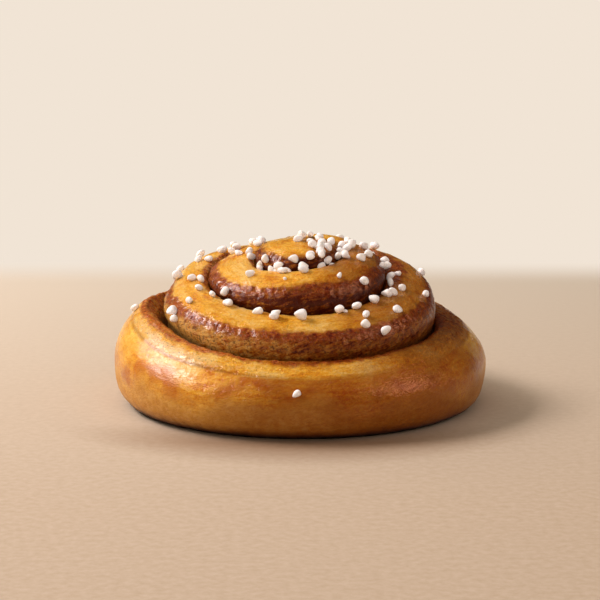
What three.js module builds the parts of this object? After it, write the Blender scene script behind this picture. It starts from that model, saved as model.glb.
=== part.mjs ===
// Cinnamon bun with pearl sugar, in millimetres, +Z up.
// One strip of dough is coiled three and a bit times round its own crown and baked into one solid.
// Its tail end lies against the back. Sugar nibs, each a separate solid, sit on the crust.
// The origin is at the middle of the flat foot that the bun rests on.

import * as THREE from "three";
import { NURBSCurve } from "three/addons/curves/NURBSCurve.js";

// Overall width of the baked bun, and the height of its crest line, which the rounded crust stays
// a little below.
const bunWidth = 110;
const bunHeight = 49;

// The outer skin: how far the foot stands in from the widest line, how full the skin stays above the
// foot (1 is straight down), and the round of its top edge.
const footInset = 5.5;
const footFullness = 0.75;
const skinShoulder = 5;
const skinBulge = 0.7;

// Seen from above the bun is a little fuller on two opposite sides: mean and swing of its shortfall from
// the full width, as shares of the bulge, and the angle of the swing in radians.
const shortfallMean = 0.75;
const shortfallSwing = 0.5;
const shortfallAngle = 0.5;

// The edges of the inner coils: their round and their overhang beyond the groove outside them.
const coilShoulder = 2.6;
const coilOverhang = 1.1;
const grooveOpening = 0.35;
const topCrown = 0.5;

// Width that a strip needs for its edges to be fully formed. It tapers away below that.
const fullStrip = 8;

// The bends of the strip's section. The inner edge has leaned out by this share of its lean when it has
// risen by that share of its height.
const innerBendLean = 0.3;
const innerBendRise = 0.55;
// How far in from either edge the top bends down, as shares of the top's width, and how much of the outer
// edge's drop and of the crown of the top are left at the outer one.
const topBendInner = 0.22;
const topBendOuter = 0.3;
const topBendDrop = 0.45;
const topBendCrown = 0.6;
// The outer wall bulges between this share of its height below the top edge and that share above the groove.
const wallBendUpper = 0.25;
const wallBendLower = 0.42;
// The part of the groove that stands open, as a share of its depth, and its bounds as shares of the wall.
const openShare = 0.6;
const openLeast = 0.08;
const openMost = 0.4;

// The crown before it parts into a coil: its height as a share of the bun's, and its fall per square
// millimetre of radius.
const domeHeight = 0.985;
const domeFall = 0.00021;

// Pearl sugar: mean length of a nib, the spread of lengths, the ranges of its width and thickness as
// shares of its length, and the gaps round it.
const nibLength = 2.9;
const nibSpread = 0.2;
const nibWidths = [0.68, 0.92];
const nibThicknesses = [0.62, 0.82];
const seatGap = 0.3;
const nibGap = 0.3;

// The strip starts at the crown, at this angle from +X, and runs clockwise as seen from above.
const crownAngle = THREE.MathUtils.degToRad(125);
const tailTurn = 3.2;
const tailBlend = 0.12;
const crownShift = 2;
const crownShiftReach = 0.95;

// Fineness: columns round the bun and steps across one coil. The tail must end on a column. Points closer
// than the weld length become one, and a nib has come to rest when it lacks less than the rest length.
const columns = 80;
const stepsAcross = 10;
const weldLength = 0.0005;
const restLength = 0.005;
const restRounds = 200;

// How the coil runs, as [turn, value] pairs. Turn 0.6 faces the front, 0.85 the left, 0.1 the back.
// Distance of the groove inside the strip from the middle, as a share of half the width.
const groovePath = [
  [0, 0], [0.06, 0.1], [0.15, 0.155], [0.35, 0.18], [0.6, 0.22], [0.85, 0.25], [1.1, 0.335],
  [1.35, 0.415], [1.6, 0.46], [1.85, 0.49], [2.1, 0.59], [2.35, 0.7], [2.6, 0.72], [2.85, 0.72],
  [3, 0.775], [3.1, 0.83], [3.16, 0.88],
];

// Height of the strip's top, as a share of the height of the bun. Below turn 0 is the crown.
const topPath = [
  [-1, 0.973], [-0.65, 0.968], [-0.4, 0.94], [-0.15, 0.965], [0.1, 1], [0.35, 0.92], [0.55, 0.855],
  [0.75, 0.827], [1, 0.91], [1.1, 0.926], [1.27, 0.846], [1.42, 0.7], [1.6, 0.623], [1.78, 0.7],
  [2.04, 0.86], [2.25, 0.557], [2.35, 0.5], [2.6, 0.412], [2.7, 0.447], [2.87, 0.578], [3, 0.59],
  [3.1, 0.54], [3.16, 0.415], [tailTurn, 0],
];

// Depth of the groove below the top of the strip outside it.
const groovePathDepth = [
  [0, 0], [0.2, 2], [0.35, 3], [0.85, 3.5], [1.35, 4], [1.85, 4], [2.1, 8], [2.35, 4],
  [2.6, 3], [2.75, 3.2], [2.82, 6], [2.9, 10.5], [3, 8], [3.16, 8], [tailTurn, 0],
];

// How far the inner edge of the strip leans out from its groove.
const lipPath = [[0, 0.5], [0.5, 1.2], [2.6, 1.5], [2.76, 1.8], [2.88, 6], [3.05, 3], [tailTurn, 0.2]];

// How much lower the outer edge of the strip lies than its middle.
const edgeDropPath = [
  [-1, 1.5], [0, 1.5], [0.6, 3], [1.1, 2.5], [1.6, 3], [1.85, 2], [2.6, 3.6], [tailTurn, 2],
];

// How far the crown has parted into a coil: a plain dome at the start, a full groove after 0.28 turn.
const partingPath = [[-1, 0], [0, 0], [0.28, 1], [tailTurn, 1]];

// Sugar nibs as [turn, share of the way out across the coil, size against the mean].
const crownNibs = [
  [-0.93, 0.9, 1], [-0.24, 0.72, 0.95], [-0.22, 0.88, 0.9], [-0.31, 0.8, 1.05], [-0.36, 0.72, 1],
  [-0.26, 0.25, 0.95], [-0.45, 0.38, 0.95], [-0.59, 0.34, 1], [-0.82, 0.82, 1.1], [-0.48, 0.56, 1.1],
  [-0.58, 0.72, 1], [-0.55, 0.86, 1.05], [-0.4, 0.88, 1], [-0.42, 0.64, 0.95],
];
const firstCoilNibs = [
  [0.12, 0.04, 1], [0.24, 0.12, 0.9], [0.29, 0.3, 1.05], [0.36, 0.22, 1], [0.32, 0.42, 1],
  [0.38, 0.46, 1], [0.375, 0.66, 1], [0.47, 0.66, 1], [0.6, 0.3, 1.05], [0.66, 0.28, 1],
  [0.75, 0.72, 1.1], [0.73, 0.4, 1], [0.87, 0.2, 1], [0.9, 0.36, 0.95], [0.94, 0.5, 1.1],
  [0.97, 0.26, 1], [1, 0.36, 1.05], [1.09, 0.45, 1], [1.17, 0.3, 0.95],
];
const secondCoilNibs = [
  [1.23, 0.4, 1.15], [1.3, 0.62, 1], [1.35, 0.3, 0.9], [1.38, 0.58, 1], [1.4, 0.36, 1],
  [1.43, 0.34, 1.1], [1.46, 0.5, 1], [1.475, 0.3, 1.1], [1.5, 0.66, 1.15], [1.52, 0.56, 1],
  [1.51, 0.44, 1], [1.54, 0.3, 1.15], [1.6, 0.36, 1.25], [1.635, 0.4, 1.05], [1.665, 0.32, 1.1],
  [1.715, 0.32, 1], [1.76, 0.3, 1], [1.8, 0.32, 0.95], [1.84, 0.35, 1.05], [1.78, 0.7, 1.2],
  [1.87, 0.5, 1.1], [1.91, 0.58, 1.05], [1.96, 0.28, 1.05],
];
const outerCoilNibs = [[2.6, 0.68, 0.95], [2.86, 0.47, 1.05], [3, 0.42, 1]];

const crustMaterial = new THREE.MeshStandardMaterial({ color: "#b1702c", roughness: 0.42, metalness: 0 });
const sugarMaterial = new THREE.MeshStandardMaterial({ color: "#efe8e0", roughness: 0.6, metalness: 0 });

const halfWidth = bunWidth / 2;
const mix = THREE.MathUtils.lerp;

// A smooth curve through [position, value] pairs that never overshoots them (Fritsch and Carlson).
function track(pairs) {
  const slopes = pairs.slice(1).map(([x, y], i) => (y - pairs[i][1]) / (x - pairs[i][0]));
  const tangents = pairs.map((pair, i) => {
    const before = slopes[i - 1];
    const after = slopes[i];
    if (before === undefined || after === undefined || before * after <= 0) return 0;
    return (2 * before * after) / (before + after);
  });
  return (position) => {
    const x = THREE.MathUtils.clamp(position, pairs[0][0], pairs.at(-1)[0]);
    let i = 0;
    while (i < pairs.length - 2 && x > pairs[i + 1][0]) i += 1;
    const [x0, y0] = pairs[i];
    const [x1, y1] = pairs[i + 1];
    const span = x1 - x0;
    const t = (x - x0) / span;
    const t2 = t * t;
    const t3 = t2 * t;
    return (2 * t3 - 3 * t2 + 1) * y0 + (t3 - 2 * t2 + t) * span * tangents[i]
      + (3 * t2 - 2 * t3) * y1 + (t3 - t2) * span * tangents[i + 1];
  };
}

const angleAt = (turn) => crownAngle - 2 * Math.PI * turn;

// The widest line seen from above.
const swing = (angle) => shortfallSwing * Math.sin(2 * angle + shortfallAngle);
const shortfall = (angle) => skinBulge * (shortfallMean + swing(angle));
const outlineRadius = (angle) => halfWidth - shortfall(angle);
const footRadius = (angle) => outlineRadius(angle) - footInset;

const scaled = (pairs, factor) => pairs.map(([turn, value]) => [turn, value * factor]);
const grooveRadius = track([...scaled(groovePath, halfWidth), [tailTurn, footRadius(angleAt(tailTurn))]]);
const topHeight = track(scaled(topPath, bunHeight));
const grooveDepth = track(groovePathDepth);
const lipLean = track(lipPath);
const edgeDrop = track(edgeDropPath);
const parting = track(partingPath);

// Section of the strip at a turn: a curve from the groove inside it, over its top, to the groove
// outside it or, on the outermost coil, down the bare skin to the foot. Returns [radius, height].
function stripSection(turn) {
  const angle = angleAt(turn);
  const outsideTurn = turn + 1;
  const bare = THREE.MathUtils.smoothstep(outsideTurn, tailTurn - tailBlend, tailTurn);
  const outermost = outsideTurn >= tailTurn;
  const inner = grooveRadius(Math.max(turn, 0));
  const top = topHeight(turn);
  const innerFloor = topHeight(Math.max(turn, 0)) - grooveDepth(Math.max(turn, 0));
  const outer = outermost ? footRadius(angle) : grooveRadius(outsideTurn);
  const outerDepth = outermost ? 0 : grooveDepth(outsideTurn);
  const outerFloor = outermost ? 0 : topHeight(outsideTurn) - outerDepth;
  const thin = THREE.MathUtils.clamp((outer - inner) / fullStrip, 0, 1);
  const widest = mix(outer, outlineRadius(angle), bare * thin) + mix(coilOverhang, skinBulge, bare) * thin;
  const lip = lipLean(turn) * thin;
  const drop = edgeDrop(turn) * thin;
  const crown = topCrown * thin;
  const shoulder = widest - mix(coilShoulder, skinShoulder, bare) * thin;
  const topWidth = Math.max(shoulder - inner - lip, 0);
  const wall = Math.max(top - outerFloor - drop, 0);
  const openHeight = Math.max(openShare * outerDepth, openLeast * wall);
  const outerFoot = mix(outer - grooveOpening * thin, mix(outer, widest, footFullness), bare);
  const controls = [
    [inner, innerFloor],
    [inner + grooveOpening * thin + innerBendLean * lip, mix(innerFloor, top, innerBendRise)],
    [inner + lip, top - crown],
    [inner + lip + topBendInner * topWidth, top + crown],
    [shoulder - topBendOuter * topWidth, top + topBendCrown * crown - topBendDrop * drop],
    [shoulder, top - drop],
    [widest, top - drop - wallBendUpper * wall],
    [widest, outerFloor + Math.max(wallBendLower * wall, openHeight)],
    [outerFoot, outerFloor + Math.min(openHeight, openMost * wall)],
    [outer, outerFloor],
  ];
  const degree = 3;
  const inside = controls.length - degree;
  const knots = [];
  for (let i = -degree; i <= inside + degree; i += 1) knots.push(THREE.MathUtils.clamp(i / inside, 0, 1));
  const curve = new NURBSCurve(degree, knots, controls.map(([r, z]) => new THREE.Vector4(r, z, 0, 1)));
  return (across) => {
    const point = curve.getPoint(across);
    const plainRadius = mix(inner, outer, across);
    const ease = THREE.MathUtils.smoothstep(across, 0, 1);
    const parted = mix(parting(turn), parting(outsideTurn), ease);
    const dome = bunHeight * (domeHeight - domeFall * plainRadius * plainRadius);
    return [mix(plainRadius, point.x, parted), mix(dome, point.y, parted)];
  };
}

// A place on the crust. The crown leans a little towards +X, the foot not at all.
function crustPoint(turn, radius, height) {
  const angle = angleAt(turn);
  const shift = crownShift * THREE.MathUtils.clamp(1 - radius / (crownShiftReach * halfWidth), 0, 1);
  return new THREE.Vector3(shift + radius * Math.cos(angle), radius * Math.sin(angle), height);
}

// A closed mesh from triangles given as lists of three points. Points that coincide become one.
function solidFrom(triangles) {
  const places = new Map();
  const positions = [];
  const indices = [];
  const indexOf = (point) => {
    const key = point.toArray().map((value) => Math.round(value / weldLength)).join(" ");
    if (!places.has(key)) {
      places.set(key, places.size);
      positions.push(...point.toArray());
    }
    return places.get(key);
  };
  for (const triangle of triangles) {
    const [a, b, c] = triangle.map(indexOf);
    if (a !== b && b !== c && c !== a) indices.push(a, b, c);
  }
  const geometry = new THREE.BufferGeometry();
  geometry.setAttribute("position", new THREE.Float32BufferAttribute(positions, 3));
  geometry.setIndex(indices);
  geometry.computeVertexNormals();
  return geometry;
}

// One column of the bun from the middle of the crown to the foot, through every coil it crosses.
// Coils past the tail end are folded into the foot, so every column has as many points.
function bunColumn(fraction) {
  const points = [];
  for (let coil = -1; coil <= Math.ceil(tailTurn) - 1; coil += 1) {
    const turn = coil + fraction;
    const section = stripSection(Math.min(turn, tailTurn));
    for (let step = 0; step <= stepsAcross; step += 1) {
      const past = turn > tailTurn;
      const [radius, height] = past ? [footRadius(angleAt(turn)), 0] : section(step / stepsAcross);
      points.push(crustPoint(turn, radius, height));
    }
  }
  return points;
}

function makeBun() {
  const grid = [];
  for (let column = 0; column < columns; column += 1) grid.push(bunColumn(column / columns));
  const rows = grid[0].length;
  const coilRows = stepsAcross + 1;
  const foot = new THREE.Vector3(0, 0, 0);
  const triangles = [];
  for (let column = 0; column < columns; column += 1) {
    const here = grid[column];
    const last = column === columns - 1;
    const next = last ? grid[0] : grid[column + 1];
    // After one turn a coil carries on as the next coil out.
    const carry = last ? coilRows : 0;
    for (let row = 0; row < rows - 1; row += 1) {
      const a = here[row];
      const b = here[row + 1];
      const c = next[Math.min(row + 1 + carry, rows - 1)];
      const d = next[Math.min(row + carry, rows - 1)];
      triangles.push([a, d, b], [b, d, c]);
    }
    triangles.push([foot, here[rows - 1], next[rows - 1]]);
  }
  return solidFrom(triangles);
}

// A repeatable number between 0 and 1 for a whole number seed.
function scatter(seed) {
  const value = Math.sin(seed * 12.9898 + 4.1414) * 43758.5453;
  return value - Math.floor(value);
}

// A nib of sugar: a rounded lump of 36 faces, unevenly squeezed.
function makeNib(seed, length) {
  const geometry = new THREE.DodecahedronGeometry(length / 2, 0);
  const width = mix(...nibWidths, scatter(seed));
  const thickness = mix(...nibThicknesses, scatter(seed + 31));
  const stretch = new THREE.Vector3(1, width, thickness);
  const turnOf = (shift) => 2 * Math.PI * scatter(seed + shift);
  const turned = new THREE.Euler(turnOf(7), turnOf(11), turnOf(17));
  const position = geometry.getAttribute("position");
  const triangles = [];
  for (let face = 0; face < position.count; face += 3) {
    triangles.push([0, 1, 2].map((corner) => {
      const point = new THREE.Vector3().fromBufferAttribute(position, face + corner);
      return point.multiply(stretch).applyEuler(turned);
    }));
  }
  return solidFrom(triangles);
}

// The corners of a mesh's triangle that starts at a place in its index.
function cornersOf(geometry, start) {
  const position = geometry.getAttribute("position");
  const corner = (k) => new THREE.Vector3().fromBufferAttribute(position, geometry.index.getX(start + k));
  return [corner(0), corner(1), corner(2)];
}

// The crust's triangles near a place, with their outward normals.
function crustNear(bun, place, reach) {
  const near = [];
  for (let i = 0; i < bun.index.count; i += 3) {
    const face = new THREE.Triangle(...cornersOf(bun, i));
    if (face.closestPointToPoint(place, new THREE.Vector3()).distanceTo(place) < reach) near.push(face);
  }
  return near;
}

// Distance of a point from the faces, negative behind them, and the normal of the closest one.
function clearance(point, faces) {
  let best = { distance: Infinity, normal: null };
  for (const face of faces) {
    const closest = face.closestPointToPoint(point, new THREE.Vector3());
    const away = point.clone().sub(closest);
    const normal = face.getNormal(new THREE.Vector3());
    const size = away.length();
    const facing = away.dot(normal);
    const closer = size < Math.abs(best.distance) - 1e-6;
    const clearer = Math.abs(size - Math.abs(best.distance)) <= 1e-6 && Math.abs(facing) > best.facing;
    if (closer || clearer) best = { distance: facing < 0 ? -size : size, normal, facing: Math.abs(facing) };
  }
  return best;
}

// The corners of a lump and the middles of its edges and faces, about its own middle.
function feelers(geometry) {
  const points = [];
  for (let i = 0; i < geometry.index.count; i += 3) {
    const [a, b, c] = cornersOf(geometry, i);
    points.push(a, a.clone().add(b).divideScalar(2), a.clone().add(b).add(c).divideScalar(3));
  }
  return points;
}

// Where a nib comes to rest: it starts on the crust and is pushed out, away from whatever it is too
// close to, until it clears the crust by the seat gap and its neighbours by the nib gap.
function seatNib(bun, nib, start, placed) {
  const centre = start.clone();
  const faces = crustNear(bun, start, 4 * nibLength);
  const points = feelers(nib.geometry);
  for (let round = 0; round < restRounds; round += 1) {
    const push = new THREE.Vector3();
    let short = 0;
    for (const other of placed) {
      const away = centre.clone().sub(other.centre);
      const lack = nib.reach + other.reach + nibGap - away.length();
      if (lack > 0) push.add(away.normalize().multiplyScalar(lack));
      short = Math.max(short, lack);
    }
    for (const point of points) {
      const { distance, normal } = clearance(point.clone().add(centre), faces);
      const lack = seatGap - distance;
      if (lack > short) push.copy(normal).multiplyScalar(lack);
      short = Math.max(short, lack);
    }
    if (short < restLength) break;
    centre.add(push);
  }
  return centre;
}

const bunGeometry = makeBun();
const bun = new THREE.Mesh(bunGeometry, crustMaterial);
bun.name = "baked_bun";

const sugar = new THREE.Group();
const placed = [];
const nibPlaces = [...crownNibs, ...firstCoilNibs, ...secondCoilNibs, ...outerCoilNibs];
nibPlaces.forEach(([turn, across, size], index) => {
  const length = nibLength * size * (1 + nibSpread * (scatter(index + 53) - 0.5));
  const geometry = makeNib(index, length);
  const [radius, height] = stripSection(turn)(across);
  const start = crustPoint(turn, radius, height);
  const centre = seatNib(bunGeometry, { geometry, reach: length / 2 }, start, placed);
  placed.push({ centre, reach: length / 2 });
  const mesh = new THREE.Mesh(geometry, sugarMaterial.clone());
  mesh.name = `pearl_sugar_${String(index + 1).padStart(2, "0")}`;
  mesh.position.copy(centre);
  sugar.add(mesh);
});

// The bun stands with the middle of its box over the origin.
const model = new THREE.Group();
const box = new THREE.Box3().setFromObject(bun);
const middle = box.getCenter(new THREE.Vector3());
model.position.set(-middle.x, -middle.y, 0);
model.add(bun, sugar);
const part = new THREE.Group();
part.add(model);

export default part;
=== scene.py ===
import math

import bpy
import numpy as np
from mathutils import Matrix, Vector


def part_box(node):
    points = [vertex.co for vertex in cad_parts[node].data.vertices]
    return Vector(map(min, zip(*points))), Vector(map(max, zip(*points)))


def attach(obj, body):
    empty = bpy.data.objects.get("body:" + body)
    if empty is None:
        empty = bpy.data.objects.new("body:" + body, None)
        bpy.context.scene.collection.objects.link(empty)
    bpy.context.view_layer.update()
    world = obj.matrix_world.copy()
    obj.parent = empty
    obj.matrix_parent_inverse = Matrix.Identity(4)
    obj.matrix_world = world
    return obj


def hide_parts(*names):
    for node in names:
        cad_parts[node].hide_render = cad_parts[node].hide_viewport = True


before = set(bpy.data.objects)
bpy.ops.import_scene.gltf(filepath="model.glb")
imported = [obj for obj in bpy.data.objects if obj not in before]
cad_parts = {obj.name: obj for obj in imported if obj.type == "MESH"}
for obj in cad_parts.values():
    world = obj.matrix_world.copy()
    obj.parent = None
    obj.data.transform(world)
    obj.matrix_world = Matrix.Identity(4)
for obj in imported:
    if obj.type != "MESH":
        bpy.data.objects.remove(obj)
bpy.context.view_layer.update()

MM = 0.001

# ---------------------------------------------------------------------------------------------
# The baked bun. One strip of wheat dough, spread with cinnamon butter, is coiled three and a bit
# times, pushed up at the middle, brushed with egg and baked into one piece. The brushed skin comes
# out glossy and golden, the cut edges rough and dark, and the walls between the coils mottled.

HALF_WIDTH = 55.0
BUN_HEIGHT = 49.0
FOOT_INSET = 5.5
FOOT_FULLNESS = 0.75
SKIN_SHOULDER = 5.0
SKIN_BULGE = 0.7
COIL_SHOULDER = 2.6
COIL_OVERHANG = 1.1
GROOVE_OPENING = 0.35
TOP_CROWN = 0.5
FULL_STRIP = 8.0
DOME_HEIGHT = 0.985
DOME_FALL = 0.00021
CROWN_ANGLE = math.radians(125)
CROWN_SHIFT = 2.0
TAIL_TURN = 3.2
TAIL_BLEND = 0.12

COLUMNS = 560
STEPS = 34
UNDER_RINGS = 16
# The crease where the cut side of the dough meets its skin lies on a row of the grid.
CREASE = 18 / STEPS

# The coil, as (turn, value). Turn 0.6 faces the front, 0.85 the left, 0.1 the back.
# Distance of the groove inside the strip, as a share of half the width.
GROOVE_PATH = [
    (0, 0), (0.06, 0.1), (0.15, 0.155), (0.35, 0.18), (0.6, 0.22), (0.85, 0.25), (1.1, 0.335),
    (1.35, 0.415), (1.6, 0.46), (1.85, 0.49), (2.1, 0.59), (2.35, 0.7), (2.6, 0.72), (2.85, 0.72),
    (3, 0.775), (3.1, 0.83), (3.16, 0.88),
]
# Height of the strip's top, as a share of the bun's height.
TOP_PATH = [
    (-1, 0.973), (-0.65, 0.968), (-0.4, 0.94), (-0.15, 0.965), (0.1, 1), (0.35, 0.92), (0.55, 0.855),
    (0.75, 0.827), (1, 0.91), (1.1, 0.926), (1.27, 0.846), (1.42, 0.7), (1.6, 0.623), (1.78, 0.7),
    (2.04, 0.86), (2.25, 0.557), (2.35, 0.5), (2.6, 0.412), (2.7, 0.447), (2.87, 0.578), (3, 0.59),
    (3.1, 0.54), (3.16, 0.415), (TAIL_TURN, 0),
]
# Depth of the groove, lean of the inner edge and drop of the outer edge, in millimetres.
DEPTH_PATH = [
    (0, 0), (0.2, 2), (0.35, 3), (0.85, 3.5), (1.35, 4), (1.85, 4), (2.1, 8), (2.35, 4),
    (2.6, 3), (2.75, 3.2), (2.82, 6), (2.9, 10.5), (3, 8), (3.16, 8), (TAIL_TURN, 0),
]
LIP_PATH = [(0, 0.5), (0.5, 1.2), (2.6, 1.5), (2.76, 1.8), (2.88, 6), (3.05, 3), (TAIL_TURN, 0.2)]
DROP_PATH = [(-1, 1.5), (0, 1.5), (0.6, 3), (1.1, 2.5), (1.6, 3), (1.85, 2), (2.6, 3.6), (TAIL_TURN, 2)]
# How far the crown has parted into a coil.
PARTING_PATH = [(-1, 0), (0, 0), (0.28, 1), (TAIL_TURN, 1)]
# How far across the strip its torn inner lip reaches.
LIP_REACH_PATH = [
    (1, 0.22), (1.15, 0.28), (1.3, 0.42), (1.45, 0.26), (2.2, 0.26), (2.45, 0.3), (2.6, 0.37),
    (2.72, 0.37), (2.85, 0.4), (TAIL_TURN, 0.36),
]

# Fades across the strip, as (low, high) shares of the way from the inner groove to the outer one.
RIM_START, RIM_END = (0.5, 0.6), (0.64, 0.84)
WALL_START = (0.6, 0.7)
CREAM_START, CREAM_END = (0.37, 0.41), (0.5, 0.54)
CUT_END = (0.42, 0.54)
LIP_FADE = (-0.06, 0.08)
# Places along the strip, as (turn, half width of the fade).
CROWN_RIM = (-0.38, 0.16)
CREAM_INSIDE = (1.7, 0.15)
CREAM_OUTSIDE = (2.75, 0.13)
CUT_SIDE = (2.33, 0.13)
LIT_WALL_SIDE = (1.84, 0.15)
DEEP_CREASE = (2.71, 0.11)
CREVICE = (2.88, 0.12)
# Turns clockwise from +X, seen from above, to the front right and to the right, which are painted darker:
# painted shade on the sides away from the window, partly also browner baking.
BROWN_AND_SHADED_SIDE = math.radians(60)
SHADED_RIGHT_SIDE = math.radians(15)
# Height where the egg wash ends, its waves as (height, length), and the seam underneath, in millimetres.
WASH_EDGE = 10.5
WASH_WAVES = [(4.5, 13), (1.6, 4.5)]
SEAM_DEPTH = 0.5
# A coil's mean radius at turn 0, and what it gains a turn, in millimetres.
START_RADIUS = 8.0
RADIUS_GAIN = 7.2
# The crust's relief, as heights and sizes in millimetres: swells of the dough, dents that are shallower
# in the skin, pulls along the strip, tears where the crust is rough, and folds in the deep crevice.
SWELL, SWELL_SIZE = 0.4, 16
DENT, DENT_IN_SKIN, DENT_SIZE = 0.2, 0.08, 6
PULL, PULL_SIZE, PULL_SQUEEZE = 0.1, 3.2, 2.2
TEAR, TEAR_SIZES = 0.2, (2.1, 1.3)
CREASE_DEPTH = 0.25
FOLD, FOLDS_PER_LENGTH = 0.32, 3.1


def track(pairs, at):
    """A cubic through the pairs whose slope at each one is the harmonic mean of the slopes beside it."""
    x, y = np.array(pairs, float).T
    slope = np.diff(y) / np.diff(x)
    tangent = np.zeros(len(x))
    same = slope[:-1] * slope[1:] > 0
    both = np.where(same, slope[:-1] + slope[1:], 1)
    tangent[1:-1] = np.where(same, 2 * slope[:-1] * slope[1:] / both, 0)
    at = np.clip(at, x[0], x[-1])
    i = np.clip(np.searchsorted(x, at, side="right") - 1, 0, len(x) - 2)
    span = x[i + 1] - x[i]
    t = (at - x[i]) / span
    start = (2 * t**3 - 3 * t**2 + 1) * y[i] + (t**3 - 2 * t**2 + t) * span * tangent[i]
    return start + (3 * t**2 - 2 * t**3) * y[i + 1] + (t**3 - t**2) * span * tangent[i + 1]


def ease(x, low, high):
    """0 below low, 1 above high, and 3t^2 - 2t^3 between them."""
    t = np.clip((x - low) / (high - low), 0, 1)
    return t * t * (3 - 2 * t)


def bell(x, middle, width):
    """exp(-((x - middle) / width)^2)."""
    return np.exp(-(((x - middle) / width) ** 2))


def outline_radius(angle):
    """The widest line: half the width, less a wave with two humps to the turn."""
    return HALF_WIDTH - SKIN_BULGE * (0.75 + 0.5 * np.sin(2 * angle + 0.5))


def spline_weights(across, count, degree=3):
    """Cox and de Boor's weights of a clamped, even B-spline with count points, one row per place."""
    inside = count - degree
    knots = np.clip(np.arange(-degree, inside + degree + 1) / inside, 0, 1)
    at = np.clip(across, 0, 1 - 1e-9)[:, None]
    weights = ((at >= knots[:-1]) & (at < knots[1:])).astype(float)
    for k in range(1, degree + 1):
        width_left = knots[k:-1] - knots[: -k - 1]
        width_right = knots[k + 1 :] - knots[1:-k]
        over_left = np.where(width_left > 0, width_left, 1)
        over_right = np.where(width_right > 0, width_right, 1)
        left = np.where(width_left > 0, (at - knots[: -k - 1]) / over_left, 0)
        right = np.where(width_right > 0, (knots[k + 1 :] - at) / over_right, 0)
        weights = left * weights[:, :-1] + right * weights[:, 1:]
    return weights


def bareness(turn):
    """0 where another coil lies outside the strip, 1 where its outer side is bare skin."""
    return ease(turn + 1, TAIL_TURN - TAIL_BLEND, TAIL_TURN)


def strip_section(turn, across):
    """(radius, height) of the strip, in millimetres, for turns down and places across.
    A B-spline from the inner groove over the top to the outer groove, or to the foot on bare skin."""
    angle = CROWN_ANGLE - 2 * np.pi * turn
    outside = turn + 1
    tail_angle = CROWN_ANGLE - 2 * np.pi * TAIL_TURN
    groove_path = [(t, share * HALF_WIDTH) for t, share in GROOVE_PATH]
    groove_path.append((TAIL_TURN, float(outline_radius(tail_angle)) - FOOT_INSET))
    top_path = [(t, share * BUN_HEIGHT) for t, share in TOP_PATH]
    bare = bareness(turn)
    outermost = outside >= TAIL_TURN
    inner = track(groove_path, np.maximum(turn, 0))
    top = track(top_path, turn)
    inner_floor = track(top_path, np.maximum(turn, 0)) - track(DEPTH_PATH, np.maximum(turn, 0))
    outer = np.where(outermost, outline_radius(angle) - FOOT_INSET, track(groove_path, outside))
    outer_depth = np.where(outermost, 0, track(DEPTH_PATH, outside))
    outer_floor = np.where(outermost, 0, track(top_path, outside) - outer_depth)
    thin = np.clip((outer - inner) / FULL_STRIP, 0, 1)
    overhang = COIL_OVERHANG + (SKIN_BULGE - COIL_OVERHANG) * bare
    widest = outer + (outline_radius(angle) - outer) * bare * thin + overhang * thin
    lip = track(LIP_PATH, turn) * thin
    drop = track(DROP_PATH, turn) * thin
    crown = TOP_CROWN * thin
    shoulder = widest - (COIL_SHOULDER + (SKIN_SHOULDER - COIL_SHOULDER) * bare) * thin
    top_width = np.maximum(shoulder - inner - lip, 0)
    wall = np.maximum(top - outer_floor - drop, 0)
    open_height = np.maximum(outer_depth * 0.6, 0.08 * wall)
    groove_side = outer - GROOVE_OPENING * thin
    outer_foot = groove_side + (outer + FOOT_FULLNESS * (widest - outer) - groove_side) * bare
    controls = [
        (inner, inner_floor),
        (inner + GROOVE_OPENING * thin + 0.3 * lip, inner_floor + 0.55 * (top - inner_floor)),
        (inner + lip, top - crown),
        (inner + lip + 0.22 * top_width, top + crown),
        (shoulder - 0.3 * top_width, top + 0.6 * crown - 0.45 * drop),
        (shoulder, top - drop),
        (widest, top - drop - 0.25 * wall),
        (widest, outer_floor + np.maximum(0.42 * wall, open_height)),
        (outer_foot, outer_floor + np.minimum(open_height, 0.4 * wall)),
        (outer, outer_floor),
    ]
    weights = spline_weights(across, len(controls))
    radius = np.stack([c[0] for c in controls], 1) @ weights.T
    height = np.stack([c[1] for c in controls], 1) @ weights.T
    plain = inner[:, None] + (outer - inner)[:, None] * across
    parted_in = track(PARTING_PATH, turn)[:, None]
    parted_out = track(PARTING_PATH, outside)[:, None]
    parted = parted_in + (parted_out - parted_in) * ease(across, 0, 1)
    dome = BUN_HEIGHT * (DOME_HEIGHT - DOME_FALL * plain * plain)
    return plain + (radius - plain) * parted, dome + (height - dome) * parted


def crust_points(turn, radius, height):
    """Places for (turn, radius, height): polar about the crown, which leans towards +X as it rises."""
    angle = CROWN_ANGLE - 2 * np.pi * turn
    shift = CROWN_SHIFT * np.clip(1 - radius / (0.95 * HALF_WIDTH), 0, 1)
    return np.stack([shift + radius * np.cos(angle), radius * np.sin(angle), height], -1)


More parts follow.
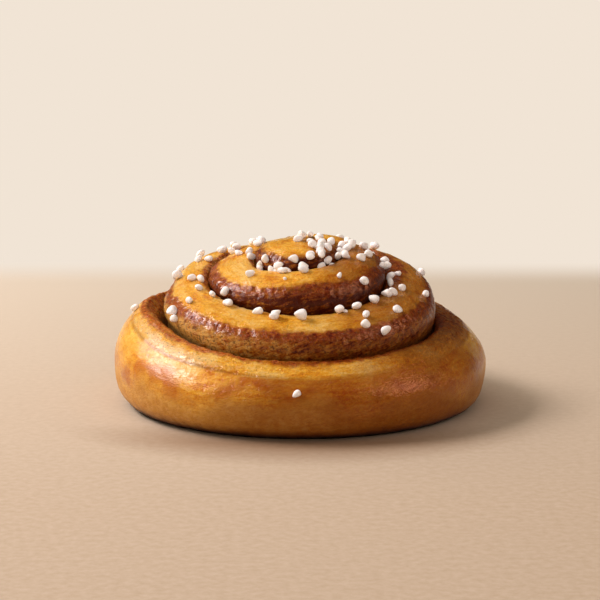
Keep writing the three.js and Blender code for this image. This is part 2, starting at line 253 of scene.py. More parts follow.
def lumps(points, size, seed):
    """Smooth noise from -1 to 1 with lumps of about this size: gradients drawn for the corners of a
    cubic lattice, faded between them by 6t^5 - 15t^4 + 10t^3."""
    place = np.asarray(points, float) / size
    cell = np.floor(place).astype(np.int64)
    inside = place - cell
    fade = inside**3 * (inside * (inside * 6 - 15) + 10)
    total = np.zeros(place.shape[:-1])
    for corner in np.ndindex(2, 2, 2):
        at = cell + np.array(corner)
        mixed = at[..., 0] * 73856093 ^ at[..., 1] * 19349663 ^ at[..., 2] * 83492791 ^ seed * 2654435761
        mixed = (mixed ^ (mixed >> 13)) * 1274126177 & 0x7FFFFFFF
        azimuth = (mixed & 0xFFFF) / 65536 * 2 * np.pi
        rise = ((mixed >> 15) & 0xFFFF) / 32768 - 1
        flat = np.sqrt(1 - rise**2)
        away = inside - np.array(corner)
        dot = away[..., 0] * flat * np.cos(azimuth) + away[..., 1] * flat * np.sin(azimuth)
        dot += away[..., 2] * rise
        share = np.where(corner, fade, 1 - fade).prod(-1)
        total += share * dot
    return total * 1.6


def new_mesh(name, points, faces):
    """A smooth-shaded mesh object at the origin from points in millimetres and triangles."""
    mesh = bpy.data.meshes.new(name)
    mesh.vertices.add(len(points))
    mesh.vertices.foreach_set("co", (np.asarray(points) * MM).astype(np.float32).ravel())
    mesh.loops.add(faces.size)
    mesh.loops.foreach_set("vertex_index", faces.astype(np.int32).ravel())
    mesh.polygons.add(len(faces))
    mesh.polygons.foreach_set("loop_start", np.arange(0, faces.size, 3, dtype=np.int32))
    mesh.polygons.foreach_set("loop_total", np.full(len(faces), 3, dtype=np.int32))
    mesh.polygons.foreach_set("use_smooth", np.ones(len(faces), dtype=bool))
    mesh.update(calc_edges=True)
    piece = bpy.data.objects.new(name, mesh)
    bpy.context.scene.collection.objects.link(piece)
    return piece


# The strip on a grid: columns round the bun, rows out through every coil, then rings underneath.
fraction = np.arange(COLUMNS) / COLUMNS
across = np.arange(STEPS) / STEPS
coils = np.arange(-1, math.ceil(TAIL_TURN))
turns, places_across, radii, heights = [], [], [], []
for coil in coils:
    turn = coil + fraction
    radius, height = strip_section(np.minimum(turn, TAIL_TURN), across)
    past = (turn > TAIL_TURN)[:, None]
    foot = (outline_radius(CROWN_ANGLE - 2 * np.pi * turn) - FOOT_INSET)[:, None]
    turns.append(np.repeat(turn[:, None], STEPS, 1))
    places_across.append(np.where(past, 1.0, across[None]))
    radii.append(np.where(past, foot, radius))
    heights.append(np.where(past, 0.0, height))
foot = outline_radius(CROWN_ANGLE - 2 * np.pi * fraction)[:, None] - FOOT_INSET
inward = np.linspace(1, 0, UNDER_RINGS + 1)[None]
turns.append(np.repeat(fraction[:, None], UNDER_RINGS + 1, 1))
places_across.append(np.full((COLUMNS, UNDER_RINGS + 1), 1.0))
radii.append(foot * inward)
heights.append(np.zeros((COLUMNS, UNDER_RINGS + 1)))
turn_grid = np.concatenate(turns, 1)
across_grid = np.concatenate(places_across, 1)
radius_grid = np.concatenate(radii, 1)
height_grid = np.concatenate(heights, 1)
rows = turn_grid.shape[1]
top_rows = STEPS * len(coils)
point_grid = crust_points(turn_grid, radius_grid, height_grid)
# The rings underneath don't follow the crown's lean.
ring_angle = CROWN_ANGLE - 2 * np.pi * turn_grid[:, top_rows:]
point_grid[:, top_rows:, 0] = radius_grid[:, top_rows:] * np.cos(ring_angle)

# Faces join each column to the next; after the last column every coil carries on as the next one out.
number = np.arange(COLUMNS * rows).reshape(COLUMNS, rows)
next_column = np.roll(number, -1, 0)
carried = np.minimum(np.arange(top_rows + 1) + STEPS, top_rows)
next_column[-1, : top_rows + 1] = number[0, carried]
a, b = number[:, :-1], number[:, 1:]
d, c = next_column[:, :-1], next_column[:, 1:]
faces = np.concatenate([np.stack([a, d, b], -1).reshape(-1, 3), np.stack([b, d, c], -1).reshape(-1, 3)])

# Points that fall together, at the crown, past the tail and under the middle, become one.
flat_points = point_grid.reshape(-1, 3)
_, kept, merged = np.unique(np.round(flat_points, 3), axis=0, return_index=True, return_inverse=True)
faces = merged.reshape(-1)[faces]
proper = (faces[:, 0] != faces[:, 1]) & (faces[:, 1] != faces[:, 2]) & (faces[:, 2] != faces[:, 0])
faces = faces[proper]
points = flat_points[kept]
turn_at = turn_grid.reshape(-1)[kept]
across_at = across_grid.reshape(-1)[kept]
radius_at = radius_grid.reshape(-1)[kept]
under = (np.arange(COLUMNS * rows) % rows)[kept] > top_rows

# Lengths along and across the strip, in millimetres, for patterns that follow the dough.
step_out = np.linalg.norm(np.diff(point_grid, axis=1), axis=2)
out_grid = np.concatenate([np.zeros((COLUMNS, 1)), np.cumsum(step_out, 1)], 1)
coil_start = np.repeat(out_grid[:, :top_rows:STEPS], STEPS, 1)
out_grid[:, :top_rows] -= coil_start
out_at = out_grid.reshape(-1)[kept]
along_at = 2 * np.pi * (START_RADIUS * turn_at + RADIUS_GAIN / 2 * turn_at**2)

# The model is centred over the middle of the bun's box.
bun_low, bun_high = (np.array(corner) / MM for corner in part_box("baked_bun"))
shift = (bun_low + bun_high) / 2 - (points.min(0) + points.max(0)) / 2
points[:, :2] += shift[:2]

# Where each kind of surface lies, from 0 to 1: rim is the dark outer edge of a coil's top, lip its torn
# inner edge, cream a line of bare dough, wall the mottled side and cut the strip's cut side.
bare = bareness(turn_at)
parted = track(PARTING_PATH, turn_at)
parted_out = track(PARTING_PATH, turn_at + 1)
wander = 0.03 * lumps(points, 7, 3) + 0.035 * lumps(points, 2.2, 4)
edge = across_at + wander
top_path = [(turn, share * BUN_HEIGHT) for turn, share in TOP_PATH]
above_next = points[:, 2] - track(top_path, turn_at + 1)
on_crown = 1 - ease(turn_at, -0.1, 0.2)
below_crown = 1 - on_crown * (0.4 + 0.6 * bell(turn_at, *CROWN_RIM))
rim = ease(edge, *RIM_START) * (1 - ease(edge, *RIM_END)) * (1 - bare) * parted_out * below_crown
lip_reach = track(LIP_REACH_PATH, turn_at)
lip = 1 - ease(edge, lip_reach + LIP_FADE[0], lip_reach + LIP_FADE[1])
lip *= parted * ease(turn_at, 0.3, 0.6)
cream = bell(across_at + 0.3 * wander, 0.27, 0.06) * bell(turn_at, *CREAM_INSIDE)
cream_line = bare * ease(edge, *CREAM_START) * (1 - ease(edge, *CREAM_END))
cream = np.maximum(cream, cream_line * bell(turn_at, *CREAM_OUTSIDE))
wall = ease(edge, *WALL_START) * (1 - bare) * parted_out
cut = bare * (1 - ease(edge, *CUT_END)) * bell(turn_at, *CUT_SIDE)
wall = np.maximum(wall, cut)
# Painted light: the middle coil's wall is lighter on the left, where it faces the window. The innermost
# coil's walls are darker.
pale = wall * (1.5 * bell(turn_at, *LIT_WALL_SIDE) - 0.8 * (1 - ease(turn_at, 1.1, 1.3)))
# The grooves: darkened inside with painted shade, and closed where two coils meet.
inner_dark = (1 - ease(across_at, 0.02, 0.1)) * parted
outer_dark = ease(across_at, 0.6, 0.7) * (1 - ease(above_next, -1.6, 0.8)) * (1 - bare) * parted_out
groove = np.maximum(inner_dark, outer_dark)
closed = np.maximum(inner_dark, ease(across_at, 0.86, 0.98) * (1 - bare) * parted_out)
crevice = bell(turn_at, *CREVICE) * (1 - ease(across_at, 0.08, 0.2))
# The outer coil's skin. The wash ends above its foot, in a wavy line where it pooled.
skin = ease(across_at, CREASE, CREASE + 0.03) * bare
# The dark line along the crease is painted shade; the relief below also sinks the crease.
crease = bell(across_at, CREASE, 0.018) * bare * (0.4 + 0.6 * bell(turn_at, *DEEP_CREASE))
crease *= ease(turn_at, 2.15, 2.4)
foot_fade = ease(points[:, 2], 0.4, 4)
wash_line = points[:, 2] - WASH_EDGE
for seed, (wave_height, wave_size) in enumerate(WASH_WAVES, 9):
    wash_line -= wave_height * lumps(points, wave_size, seed)
skirt = bare * (1 - ease(wash_line, -1.8, 1.8))
pooled = bare * bell(wash_line, 3.5, 3.5)
scorched = bare * (1 - ease(points[:, 2] + 0.8 * lumps(points, 3, 11), 1.2, 3.6))
# A near-black band at the very bottom of the foot is painted contact shadow where the bun meets the table.
painted_foot_shadow = bare * (1 - ease(points[:, 2] + 0.3 * lumps(points, 3, 11), 0.7, 1.9))
# Two sides painted darker than the rest: painted shade away from the window, partly also baked browner.
heading = np.arctan2(points[:, 1], points[:, 0])
browning_and_shade = ease(np.cos(heading + BROWN_AND_SHADED_SIDE), 0.38, 1.0) + 0.25 * lumps(points, 12, 13)
browning_and_shade = np.clip(np.maximum(browning_and_shade, 0.5 * rim), 0, 1) * np.maximum.reduce([skin, wall, rim, lip])
right = ease(np.cos(heading + SHADED_RIGHT_SIDE), 0.3, 0.9)
browning_and_shade = np.maximum(browning_and_shade, 0.9 * right * (1 - skin))
masks = {
    "rim": rim, "lip": lip, "cream": cream, "wall": wall, "pale": pale, "groove": groove,
    "skin": skin, "skirt": skirt, "pooled": pooled, "scorched": scorched, "painted_foot_shadow": painted_foot_shadow,
    "browning_and_shade": browning_and_shade, "crease": crease, "under": under.astype(float),
}

bun = new_mesh("baked_bun_crust", points, faces)
normals = np.zeros(len(points) * 3, np.float32)
bun.data.vertices.foreach_get("normal", normals)
normals = normals.reshape(-1, 3)

# Relief in millimetres: slow swells of the dough, then lumps where the crust is torn or caramelised.
closed_in = (1 - 0.9 * closed) * foot_fade
torn = np.clip(rim + 0.8 * lip + 0.7 * wall + 0.3 * bare * (1 - skin) + scorched, 0, 1)
strip_place = np.stack([along_at, out_at * PULL_SQUEEZE, np.zeros_like(out_at)], -1)
relief = SWELL * lumps(points, SWELL_SIZE, 1)
relief += (DENT + (DENT_IN_SKIN - DENT) * skin) * lumps(points, DENT_SIZE, 2)
relief += PULL * lumps(strip_place, PULL_SIZE, 5)
for seed, size in enumerate(TEAR_SIZES, 6):
    relief += torn * TEAR * lumps(points, size, seed)
relief -= CREASE_DEPTH * crease
relief += FOLD * np.sin(along_at * FOLDS_PER_LENGTH + 0.8 * lumps(points, 3, 12)) * crevice
points = points + normals * (relief * closed_in * (1 - under))[:, None]
# The seam of the coil shows underneath as a shallow groove, and the rest lies flat on the tray.
seam_turn = TAIL_TURN * radius_at / HALF_WIDTH - turn_at
seam_off = np.abs(seam_turn - np.round(seam_turn))
seam = bell(seam_off, 0, 0.07) * ease(radius_at, 4, 10) * (1 - ease(radius_at, 44, 50))
points[:, 2] += np.where(under, SEAM_DEPTH * seam, 0)
points[:, 2] = np.maximum(points[:, 2], 0)
bun.data.vertices.foreach_set("co", (points * MM).astype(np.float32).ravel())
for name, values in masks.items():
    bun.data.attributes.new(name, "FLOAT", "POINT").data.foreach_set("value", values.astype(np.float32))
strip = np.stack([along_at, out_at, np.zeros_like(out_at)], -1) * MM
strip_attribute = bun.data.attributes.new("strip", "FLOAT_VECTOR", "POINT")
strip_attribute.data.foreach_set("vector", strip.astype(np.float32).ravel())
bun.data.update()
crust_surface = points
normals = np.zeros(len(points) * 3, np.float32)
bun.data.vertices.foreach_get("normal", normals)
crust_normals = normals.reshape(-1, 3)


def linear(code):
    """A colour given as an sRGB hex value, as linear red, green, blue and alpha 1."""
    value = np.array([int(code[i : i + 2], 16) for i in (1, 3, 5)]) / 255
    value = np.where(value <= 0.04045, value / 12.92, ((value + 0.055) / 1.055) ** 2.4)
    return (*value.tolist(), 1.0)


def add(tree, kind, links=None, out=0, stops=None, **settings):
    """Adds a node and returns one of its outputs. settings are its properties, links maps its inputs to
    values or to other outputs, and stops are the (place, colour) pairs of a colour ramp."""
    node = tree.nodes.new(kind)
    for name, value in settings.items():
        setattr(node, name, value)
    for socket, value in (links or {}).items():
        if isinstance(value, bpy.types.NodeSocket):
            tree.links.new(value, node.inputs[socket])
        else:
            node.inputs[socket].default_value = value
    if stops:
        ramp = node.color_ramp
        for place, colour in stops[2:]:
            ramp.elements.new(place)
        for element, (place, colour) in zip(ramp.elements, sorted(stops)):
            element.position, element.color = place, linear(colour)
    return node.outputs[out]


def new_material(name):
    """An empty material with a Principled shader on its output. Returns the material, tree and shader."""
    material = bpy.data.materials.new(name)
    material.use_nodes = True
    tree = material.node_tree
    tree.nodes.clear()
    shader = tree.nodes.new("ShaderNodeBsdfPrincipled")
    output = tree.nodes.new("ShaderNodeOutputMaterial")
    tree.links.new(shader.outputs[0], output.inputs[0])
    return material, tree, shader


# Egg-washed wheat crust, browned in the oven: thin clear glaze over golden to dark brown bread.
crust, tree, shader = new_material("egg_washed_wheat_crust")
place = add(tree, "ShaderNodeTexCoord", out=3)
strip_out = add(tree, "ShaderNodeAttribute", out=1, attribute_name="strip")
mask = {name: add(tree, "ShaderNodeAttribute", out=2, attribute_name=name) for name in masks}
# Brush strokes run along the strip, and the wrinkles of the dried wash slant across it.
brushed = add(tree, "ShaderNodeMapping", {"Vector": strip_out, "Scale": (0.5, 1.0, 1.0)})
slant = {"Vector": strip_out, "Rotation": (0, 0, math.radians(35)), "Scale": (2.4, 1, 1)}
slanted = add(tree, "ShaderNodeMapping", slant, vector_type="TEXTURE")

# The patterns, as (place, size in millimetres, detail, distortion).
pattern = {
    "patches": (place, 11.0, 3.0, 0.0), "mottle": (place, 1.9, 4.0, 0.0), "crumb": (place, 0.8, 3.0, 0.0),
    "specks": (place, 0.62, 1.0, 0.0), "streaks": (brushed, 1.3, 4.0, 0.0),
    "wrinkles": (slanted, 0.8, 4.0, 0.6), "grit": (place, 0.5, 2.0, 0.0), "dimples": (place, 1.7, 2.0, 0.0),
}
for name, (at, size, detail, distortion) in pattern.items():
    links = {"Vector": at, "Scale": 1 / (size * MM), "Detail": detail, "Roughness": 0.6}
    pattern[name] = add(tree, "ShaderNodeTexNoise", {**links, "Distortion": distortion})
mottle, crumb = pattern["mottle"], pattern["crumb"]
mottle_crumb = add(tree, "ShaderNodeMath", {0: crumb, 1: mottle}, operation="ADD")
ragged = add(tree, "ShaderNodeMath", {0: mottle_crumb, 1: 0.9}, operation="MULTIPLY")
off_wrinkle = add(tree, "ShaderNodeMath", {0: pattern["wrinkles"], 1: 0.5}, operation="SUBTRACT")
crack = add(tree, "ShaderNodeMath", {0: off_wrinkle}, operation="ABSOLUTE")
ridge = add(tree, "ShaderNodeMapRange", {"Value": crack, "From Min": 0.0, "From Max": 0.1})

# Weighted sums: the tones that the colour ramps read, and relief too fine for the mesh.
sums = {
    "tone": [(pattern["patches"], 0.55), (pattern["streaks"], 0.35), (crumb, 0.35)],
    "wall_tone": [(mottle, 0.5), (pattern["wrinkles"], 0.5), (mask["pale"], 0.12)],
    "rim_edge": [(mask["rim"], 1.0), (ragged, 1.0)],
    "lip_edge": [(mask["lip"], 1.0), (ragged, 1.0)],
    "cream_edge": [(mask["cream"], 1.0), (mottle, 1.0)],
    "relief": [(pattern["grit"], 0.3), (ridge, 0.14), (pattern["dimples"], 0.6)],
}
for name, terms in sums.items():
    sums[name] = 0.0
    for value, weight in terms:
        links = {0: value, 1: weight, 2: sums[name]}
        sums[name] = add(tree, "ShaderNodeMath", links, operation="MULTIPLY_ADD")

# Colours, each over its tone: skin golden where the wash is thin, the skirt below it matte and tan, tops
# yellow dappled with orange, walls tan crumb with cinnamon, rims of boiled-out filling set reddish brown.
stops = {
    "skin": [(0.48, "#ca720c"), (0.56, "#e29c26"), (0.64, "#eeb640"), (0.74, "#f4c85c")],
    "skirt": [(0.3, "#c98a34"), (0.52, "#d49a46"), (0.75, "#dcaa5e")],
    "top": [(0.46, "#c46a06"), (0.54, "#e0961a"), (0.63, "#edb23a"), (0.74, "#f2c870")],
    "wall": [(0.4, "#6c2804"), (0.45, "#aa5c14"), (0.52, "#cf8c32"), (0.6, "#e6b45c")],
    "rim": [(0.36, "#5e1a04"), (0.46, "#993a0c"), (0.54, "#bd5e1c"), (0.64, "#d89244")],
    "under": [(0.3, "#8a4c1b"), (0.7, "#c78a42")],
}
tones = {
    "skin": sums["tone"], "skirt": mottle, "top": sums["tone"], "wall": sums["wall_tone"],
    "rim": crumb, "under": mottle,
}
shade = {name: add(tree, "ShaderNodeValToRGB", {"Fac": tones[name]}, stops=stops[name]) for name in stops}

# How far each kind of mark covers, as (value, low, high, cover at low, cover at high, where it may lie).
spiced = add(tree, "ShaderNodeMath", {0: mask["wall"], 1: mask["lip"]}, operation="MAXIMUM")
spiced = add(tree, "ShaderNodeMath", {0: spiced, 1: mask["cream"]}, operation="MAXIMUM")
cover = {
    "pooled": (pattern["patches"], 0.42, 0.56, 0.15, 0.9, mask["pooled"]),
    "rim": (sums["rim_edge"], 1.5, 1.9, 0.0, 1.0, 1.0),
    "lip": (sums["lip_edge"], 1.5, 1.95, 0.0, 1.0, 1.0),
    "cream": (sums["cream_edge"], 1.1, 1.6, 0.0, 0.8, 1.0),
    "cracks": (crack, 0.0, 0.03, 0.4, 0.0, 1.0),
    "specks": (pattern["specks"], 0.62, 0.72, 0.0, 0.7, spiced),
    "stains": (mottle_crumb, 1.04, 1.2, 0.0, 0.75, mask["wall"]),
    "groove": (mask["groove"], 0.0, 1.0, 0.0, 0.85, 1.0),
    "crease": (mask["crease"], 0.0, 1.0, 0.0, 0.7, 1.0),
    "scorched": (mask["scorched"], 0.0, 1.0, 0.0, 0.9, 1.0),
}
for name, (value, low, high, at_low, at_high, where) in cover.items():
    links = {"Value": value, "From Min": low, "From Max": high, "To Min": at_low, "To Max": at_high}
    reach = add(tree, "ShaderNodeMapRange", links)
    cover[name] = add(tree, "ShaderNodeMath", {0: reach, 1: where}, operation="MULTIPLY")

# The colour, layer on layer. Each is (cover, colour, way of mixing).
skin_layers = [(cover["pooled"], linear("#bc6404"), "MIX"), (mask["skirt"], shade["skirt"], "MIX")]
skin_colour = shade["skin"]
for reach, above, way in skin_layers:
    links = {0: reach, 6: skin_colour, 7: above}
    skin_colour = add(tree, "ShaderNodeMix", links, out=2, data_type="RGBA", blend_type=way)
layers = [
    (mask["skin"], skin_colour, "MIX"),
    (mask["wall"], shade["wall"], "MIX"),
    (cover["rim"], shade["rim"], "MIX"),
    (cover["lip"], shade["rim"], "MIX"),
    (cover["cream"], linear("#e6c488"), "MIX"),
    (cover["cracks"], linear("#c07c3c"), "MULTIPLY"),
    # Painted shade on the front and right, partly also browner baking.
    (mask["browning_and_shade"], linear("#b49470"), "MULTIPLY"),
    (cover["specks"], linear("#3c1406"), "MIX"),
    (cover["stains"], linear("#4e1e06"), "MIX"),
    # Painted shade inside the grooves between the coils.
    (cover["groove"], linear("#2a0d04"), "MIX"),
    # Painted shade along the crease.
    (cover["crease"], linear("#8a4a10"), "MIX"),
    (cover["scorched"], linear("#6a2e0a"), "MIX"),
    # Painted contact shadow at the foot.
    (mask["painted_foot_shadow"], linear("#180803"), "MIX"),
    (mask["under"], shade["under"], "MIX"),
]
colour = shade["top"]
for reach, above, way in layers:
    links = {0: reach, 6: colour, 7: above}
    colour = add(tree, "ShaderNodeMix", links, out=2, data_type="RGBA", blend_type=way)
tree.links.new(colour, shader.inputs["Base Color"])

# The wash shines; the skirt, which it didn't reach, and the underside don't.
dry = add(tree, "ShaderNodeMath", {0: mask["skirt"], 1: 0.8}, operation="MULTIPLY")
dry = add(tree, "ShaderNodeMath", {0: dry, 1: mask["under"]}, operation="MAXIMUM")
uneven = {"Value": mottle, "From Min": 0.3, "From Max": 0.7, "To Min": 0.26, "To Max": 0.42}
rough = add(tree, "ShaderNodeMapRange", uneven)
rough = add(tree, "ShaderNodeMath", {0: dry, 1: 0.3, 2: rough}, operation="MULTIPLY_ADD")
tree.links.new(rough, shader.inputs["Roughness"])
glaze = add(tree, "ShaderNodeMath", {0: mask["wall"], 1: -0.1, 2: 0.6}, operation="MULTIPLY_ADD")
glaze = add(tree, "ShaderNodeMath", {0: dry, 1: -0.45, 2: glaze}, operation="MULTIPLY_ADD")
tree.links.new(glaze, shader.inputs["Coat Weight"])
# The bread under the glaze is rougher than the glaze, and the skin half as rough as the rest.
depth_of_relief = add(tree, "ShaderNodeMapRange", {"Value": mask["skin"], "To Min": 1.0, "To Max": 0.5})
deep = add(tree, "ShaderNodeMath", {0: sums["relief"], 1: depth_of_relief}, operation="MULTIPLY")
under_glaze = add(tree, "ShaderNodeBump", {"Height": deep, "Strength": 1.0, "Distance": 0.8 * MM})
over_glaze = add(tree, "ShaderNodeBump", {"Height": sums["relief"], "Strength": 1.0, "Distance": 0.2 * MM})
tree.links.new(under_glaze, shader.inputs["Normal"])
tree.links.new(over_glaze, shader.inputs["Coat Normal"])
shader.inputs["Specular IOR Level"].default_value = 0.08
shader.inputs["Coat Roughness"].default_value = 0.05
shader.inputs["Subsurface Weight"].default_value = 0.06
shader.inputs["Subsurface Radius"].default_value = (2.0 * MM, 0.9 * MM, 0.3 * MM)
shader.inputs["Subsurface Scale"].default_value = 1.0
bun.data.materials.append(crust)
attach(bun, "root")
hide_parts("baked_bun")

# ---------------------------------------------------------------------------------------------
# Pearl sugar. Refined sugar pressed and broken into nibs of 2 to 4 mm that don't melt in the oven.
# Each one is a rounded, slightly angular lump, strewn on the wet egg wash, which holds it.

NIB_AROUND = 20
NIB_RINGS = 12
NIB_LENGTH = 2.9
NIB_SINK = 0.3
# A CAD nib's box is a little smaller than the nib is long.
BOX_TO_LENGTH = 1.12
FIRST_SEED = 200

sugar, tree, shader = new_material("pressed_pearl_sugar")
place = add(tree, "ShaderNodeTexCoord", out=3)
clouds = {"Vector": place, "Scale": 1 / (2.4 * MM), "Detail": 2.0, "Roughness": 0.6}
cloudy = add(tree, "ShaderNodeTexNoise", clouds)
white = add(tree, "ShaderNodeValToRGB", {"Fac": cloudy}, stops=[(0.35, "#f7f2ea"), (0.6, "#ffffff")])
tree.links.new(white, shader.inputs["Base Color"])
grain = {"Vector": place, "Scale": 1 / (0.5 * MM), "Detail": 3.0, "Roughness": 0.6}
grainy = add(tree, "ShaderNodeTexNoise", grain)
bump = add(tree, "ShaderNodeBump", {"Height": grainy, "Strength": 0.5, "Distance": 0.08 * MM})
tree.links.new(bump, shader.inputs["Normal"])
shader.inputs["Roughness"].default_value = 0.45
shader.inputs["Subsurface Weight"].default_value = 0.3
shader.inputs["Subsurface Radius"].default_value = (0.9 * MM, 0.85 * MM, 0.8 * MM)
shader.inputs["Subsurface Scale"].default_value = 1.0


def nib_shape(length, draw):
    """A lump along its own x: a sphere whose coordinates are raised to the power 0.9, which squares it a
    little, swollen by noise, narrowed towards one end by a share of x and bent by a share of x squared."""
    latitude = np.linspace(0, np.pi, NIB_RINGS + 1)[1:-1, None]
    longitude = (np.arange(NIB_AROUND) / NIB_AROUND * 2 * np.pi)[None]
    ring = np.stack([
        np.sin(latitude) * np.cos(longitude),
        np.sin(latitude) * np.sin(longitude),
        np.cos(latitude) * np.ones_like(longitude),
    ], -1).reshape(-1, 3)
    ball = np.vstack([ring, [[0, 0, 1], [0, 0, -1]]])
    swell = 1 + 0.22 * lumps(ball + draw.uniform(0, 90, 3), 1.3, 20)
    shape = np.sign(ball) * np.abs(ball) ** 0.9 * swell[:, None]
    taper, bend = draw.uniform(-0.4, 0.4), draw.uniform(-0.3, 0.3)
    shape[:, 1:] *= 1 + taper * shape[:, :1]
    shape[:, 1] += bend * shape[:, 0] ** 2
    width, thickness = draw.uniform(0.66, 0.92), draw.uniform(0.62, 0.8)
    shape = shape * (1.08, width, thickness) * length / 2
    rings = NIB_RINGS - 1
    index = np.arange(rings * NIB_AROUND).reshape(rings, NIB_AROUND)
    here, beside = index[:-1], np.roll(index[:-1], -1, 1)
    below, below_beside = index[1:], np.roll(index[1:], -1, 1)
    top, bottom = rings * NIB_AROUND, rings * NIB_AROUND + 1
    sides = [np.stack([here, below, beside], -1), np.stack([beside, below, below_beside], -1)]
    caps = [
        np.stack([np.full(NIB_AROUND, top), index[0], np.roll(index[0], -1)], -1),
        np.stack([np.full(NIB_AROUND, bottom), np.roll(index[-1], -1), index[-1]], -1),
    ]
    return shape, np.concatenate([f.reshape(-1, 3) for f in sides + caps])


def add_nib(name, centre, length, seed, lift=0.0):
    """A nib of sugar lying on the crust nearest to a centre, sunk a little into the wash, with its
    thin side roughly up. lift raises one that lies on others."""
    draw = np.random.default_rng(seed)
    shape, faces = nib_shape(length, draw)
    nearest = np.argmin(((crust_surface - centre) ** 2).sum(1))
    up = crust_normals[nearest] + draw.normal(0, 0.3, 3)
    up /= np.linalg.norm(up)
    side = np.cross(up, draw.normal(0, 1, 3))
    side /= np.linalg.norm(side)
    placed = shape @ np.stack([side, np.cross(up, side), up])
    out = crust_normals[nearest]
    low = (placed @ out).min()
    seat = crust_surface[nearest] + out * (lift - NIB_SINK - low)
    nib = new_mesh(name, placed + seat, faces)
    nib.data.materials.append(sugar)
    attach(nib, "root")
    return nib


cad_nibs = sorted(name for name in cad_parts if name.startswith("pearl_sugar"))
for count, node in enumerate(cad_nibs):
    low, high = (np.array(corner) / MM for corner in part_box(node))
    length = BOX_TO_LENGTH * (high - low).mean()
    nib = add_nib(f"sugar_nib_{count + 1:02d}", (low + high) / 2, length, count)
    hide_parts(node)

# More nibs, as (turn, share of the way out across the coil, size, lift): crumbs of sugar and those
# that lie in heaps on the crown and in the grooves.
MORE_NIBS = [
    (-0.29, 0.86, 0.9, 0.6), (-0.34, 0.84, 0.95, 1.2), (-0.3, 0.88, 0.85, 0.3),
    (-0.47, 0.66, 0.85, 0.4), (-0.54, 0.6, 0.9, 0), (-0.46, 0.82, 0.95, 0.4), (-0.56, 0.78, 0.9, 1.3),
    (-0.5, 0.86, 0.95, 1), (-0.6, 0.55, 0.9, 0.2), (-0.52, 0.46, 0.9, 0), (-0.62, 0.84, 0.9, 0.5),
    (0.34, 0.3, 0.85, 0.3), (0.9, 0.24, 0.95, 0), (0.99, 0.3, 0.9, 0), (0.31, 0.19, 0.8, 0),
    (0.52, 0.5, 0.6, 0), (0.64, 0.44, 0.4, 0), (1.3, 0.24, 0.9, 0), (1.36, 0.22, 0.95, 0.2),
    (1.53, 0.3, 0.5, 0), (1.47, 0.26, 0.7, 0), (1.33, 0.2, 1, 0.8), (1.39, 0.24, 0.85, 0),
    (1.27, 0.18, 0.9, 0.4), (1.24, 0.2, 0.95, 0), (-0.44, 0.5, 0.95, 0.3), (-0.49, 0.76, 0.9, 0.2),
    (-0.61, 0.86, 0.9, 0.2), (-0.42, 0.7, 0.85, 0.6), (-0.46, 0.72, 0.9, 1.2), (0.42, 0.4, 0.9, 0),
    (0.44, 0.26, 0.9, 0.4), (1.83, 0.26, 0.95, 0), (1.77, 0.76, 0.9, 0), (1.51, 0.3, 0.95, 0.2),
    (1.44, 0.28, 1, 0), (1.635, 0.34, 0.9, 0.3), (0.69, 0.16, 0.9, 0.5), (0.78, 0.14, 0.9, 0),
    (1.77, 0.5, 0.95, 0), (1.92, 0.38, 0.9, 0), (1.95, 0.5, 1.1, 0), (1.92, 0.26, 0.9, 0),
    (1.99, 0.24, 0.9, 0), (2, 0.38, 1, 0), (2.03, 0.36, 0.9, 0), (2.1, 0.4, 1, 0), (2.18, 0.5, 0.9, 0),
    (3.05, 0.3, 0.95, 0),
]
for count, (turn, across_share, size, lift) in enumerate(MORE_NIBS):
    radius, height = strip_section(np.array([turn]), np.array([across_share]))
    spot = crust_points(np.array([turn]), radius[0], height[0])[0]
    spot[:2] += shift[:2]
    add_nib(f"more_sugar_{count + 1:02d}", spot, NIB_LENGTH * size, FIRST_SEED + count, lift)

# ---------------------------------------------------------------------------------------------
# The table top: a plain pale sheet, warm beige near the bun and cream further away.

TABLE_REACH = 3.0
FAR_EDGE = 0.237
ROOM_COLOUR = "#f1e4d5"

reach = TABLE_REACH
corners = [(-reach, -reach, 0), (reach, -reach, 0), (reach, reach, 0), (-reach, reach, 0)]
table_mesh = bpy.data.meshes.new("table_top")
table_mesh.from_pydata(corners, [], [(0, 1, 2, 3)])
table = bpy.data.objects.new("table_top", table_mesh)
bpy.context.scene.collection.objects.link(table)
paper, tree, shader = new_material("matte_beige_paper")
place = add(tree, "ShaderNodeTexCoord", out=3)
depth = add(tree, "ShaderNodeSeparateXYZ", {0: place}, out=1)
from_bun = add(tree, "ShaderNodeVectorMath", {0: place}, out=1, operation="LENGTH")
fibre = {"Vector": place, "Scale": 1 / (2.2 * MM), "Detail": 4.0, "Roughness": 0.6}
fibres = add(tree, "ShaderNodeTexNoise", fibre)
paper_near = add(tree, "ShaderNodeValToRGB", {"Fac": fibres}, stops=[(0.3, "#b2a088"), (0.7, "#beae99")])
further = add(tree, "ShaderNodeMapRange", {"Value": depth, "From Min": -0.12, "From Max": 0.22})
fading = {0: further, 6: paper_near, 7: linear("#bdb4a3")}
near_colour = add(tree, "ShaderNodeMix", fading, out=2, data_type="RGBA")
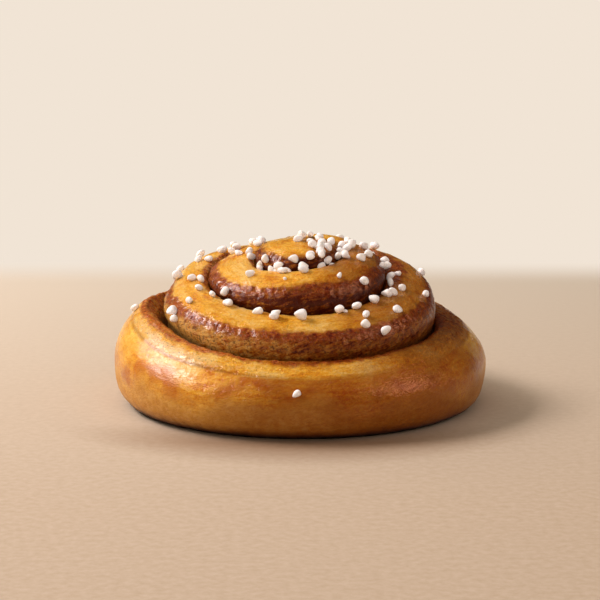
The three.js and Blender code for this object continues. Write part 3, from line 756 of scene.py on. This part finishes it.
# Painted contact shadow: the paper is darkened in front of the bun, close to its foot.
close = {"Value": from_bun, "From Min": 0.057, "From Max": 0.078, "To Min": 1.0, "To Max": 0.0}
close_by = add(tree, "ShaderNodeMapRange", close)
in_front = add(tree, "ShaderNodeMapRange", {"Value": depth, "From Min": -0.03, "From Max": -0.052})
painted_paper_shadow = add(tree, "ShaderNodeMath", {0: close_by, 1: in_front}, operation="MULTIPLY")
paper_shadow_mix = {0: painted_paper_shadow, 6: near_colour, 7: linear("#c8b6a4")}
near_colour = add(tree, "ShaderNodeMix", paper_shadow_mix, out=2, data_type="RGBA", blend_type="MULTIPLY")
far = {"Value": depth, "From Min": FAR_EDGE - 0.03, "From Max": FAR_EDGE + 0.03}
far_share = add(tree, "ShaderNodeMapRange", far, interpolation_type="SMOOTHSTEP")
tree.links.new(near_colour, shader.inputs["Base Color"])
shader.inputs["Roughness"].default_value = 0.85
glow = add(tree, "ShaderNodeEmission", {"Color": linear(ROOM_COLOUR)})
faded = add(tree, "ShaderNodeMixShader", {0: far_share, 1: shader.outputs[0], 2: glow})
tree.links.new(faded, tree.nodes["Material Output"].inputs[0])
table.data.materials.append(paper)

# ---------------------------------------------------------------------------------------------
# Soft studio light in a pale room: a window at the left and one behind give the light and shade, cards in
# front and at the right lift the shadows, and a warm reflector at the right is seen only in the glaze.

AIM = (0.0, 0.0, 0.02)
AIR_COLOUR = "#f6e8d8"
AIR_IN_GLAZE = 0.05


def area_light(name, place, size, power, colour, mirrored=True, lighting=True):
    """A rectangular lamp at a place, turned towards the bun. One that isn't mirrored adds no glare, and
    one that isn't lighting adds nothing else."""
    data = bpy.data.lights.new(name, "AREA")
    data.shape = "RECTANGLE"
    data.size, data.size_y = size
    data.energy = power
    data.color = linear(colour)[:3]
    lamp = bpy.data.objects.new(name, data)
    away = np.array(place) - np.array(AIM)
    lamp.location = place
    lamp.rotation_euler = (
        math.atan2(math.hypot(away[0], away[1]), away[2]),
        0,
        math.atan2(away[1], away[0]) + math.pi / 2,
    )
    lamp.visible_glossy = mirrored
    lamp.visible_diffuse = lighting
    bpy.context.scene.collection.objects.link(lamp)


area_light("window", (-0.62, 0.17, 0.6), (0.5, 0.24), 8.6, "#fff0ec")
area_light("back_window", (-0.5, 0.75, 0.6), (0.6, 0.4), 3.0, "#fff2e8", mirrored=False)
area_light("front_card", (0.2, -1.2, 0.6), (1.2, 0.6), 5.6, "#fff0ea", mirrored=False)
area_light("right_card", (0.95, -0.06, 0.5), (0.5, 0.3), 0.9, "#ffe8dc", mirrored=False)
area_light("reflector", (0.75, -0.2, 0.6), (0.6, 0.5), 7.0, "#ffaa80", lighting=False)
world = bpy.data.worlds.new("pale_room")
world.use_nodes = True
bpy.context.scene.world = world
tree = world.node_tree
seen = add(tree, "ShaderNodeBackground", {"Color": linear(ROOM_COLOUR)})
way = add(tree, "ShaderNodeTexCoord", out=0)
towards = add(tree, "ShaderNodeVectorMath", {0: way, 1: (-0.45, 0.45, 0.77)}, out=1, operation="DOT_PRODUCT")
bright_side = {"Value": towards, "From Min": -0.3, "From Max": 0.9, "To Min": 0.05, "To Max": 0.6}
brightness = add(tree, "ShaderNodeMapRange", bright_side)
fill = add(tree, "ShaderNodeBackground", {"Color": linear(AIR_COLOUR), "Strength": brightness})
path = add(tree, "ShaderNodeLightPath").node
dimmed = add(tree, "ShaderNodeBackground", {"Color": linear(AIR_COLOUR), "Strength": AIR_IN_GLAZE})
fill = add(tree, "ShaderNodeMixShader", {0: path.outputs["Is Glossy Ray"], 1: fill, 2: dimmed})
both = add(tree, "ShaderNodeMixShader", {0: path.outputs["Is Camera Ray"], 1: fill, 2: seen})
tree.links.new(both, tree.nodes["World Output"].inputs[0])
bpy.context.scene.view_settings.view_transform = "Standard"

# ---------------------------------------------------------------------------------------------
# The camera: a long lens, ten degrees above the table, straight in front.

CAMERA_DISTANCE = 0.6
CAMERA_RISE = math.radians(10)
CAMERA_AIM = 0.0303
SENSOR_WIDTH = 36
FOCAL_LENGTH = 122.2

camera_data = bpy.data.cameras.new("camera")
camera_data.sensor_width = SENSOR_WIDTH
camera_data.lens = FOCAL_LENGTH
camera = bpy.data.objects.new("camera", camera_data)
camera_back = CAMERA_DISTANCE * math.cos(CAMERA_RISE)
camera_height = CAMERA_AIM + CAMERA_DISTANCE * math.sin(CAMERA_RISE)
camera.location = (0, -camera_back, camera_height)
camera.rotation_euler = (math.pi / 2 - CAMERA_RISE, 0, 0)
bpy.context.scene.collection.objects.link(camera)
bpy.context.scene.camera = camera
